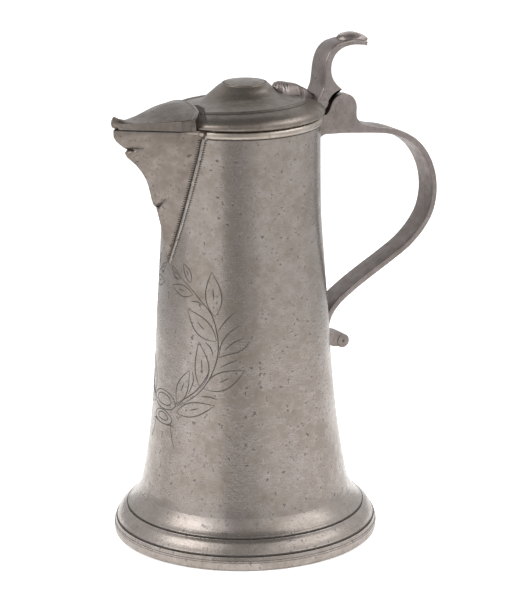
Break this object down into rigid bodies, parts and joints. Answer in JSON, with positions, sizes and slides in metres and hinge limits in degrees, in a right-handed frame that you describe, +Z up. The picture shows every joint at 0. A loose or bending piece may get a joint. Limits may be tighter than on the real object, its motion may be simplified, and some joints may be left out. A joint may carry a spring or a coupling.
{
  "type": "lidded flagon with a beak spout",
  "caption": "Tapered pewter flagon on a flared foot, with a beak spout, a strap handle and a domed lid that a curled thumbpiece swings open.",
  "frame": {"origin": "on the body's axis, at the plane that the foot stands on", "axes": "+Z up along the body's axis, +X toward the handle and the hinge, the spout toward -X"},
  "size_m": [0.193, 0.1422, 0.2654],
  "materials": {
    "pewter": "satin cast pewter",
    "iron": "worn pin wire"
  },
  "bodies": {
    "jug": {"drum": "pewter", "foot": "pewter", "bottom_plate": "pewter", "rim_band": "pewter", "spout": "pewter", "spout_seam": "pewter", "handle": "pewter", "handle_scroll": "pewter", "hinge_pin": "iron", "pin_plug_near": "pewter", "pin_plug_far": "pewter"},
    "lid": {"lid_dome": "pewter", "lid_button": "pewter", "spout_cover": "pewter", "lid_bracket": "pewter", "lid_strap": "pewter", "thumbpiece": "pewter", "thumb_shell": "pewter"}
  },
  "joints": [
    {"name": "lid_hinge", "type": "hinge", "parent": "jug", "child": "lid", "pos_m": [0.0585, 0, 0.2262], "axis": [0, 1, 0], "range_deg": [0, 82]}
  ]
}
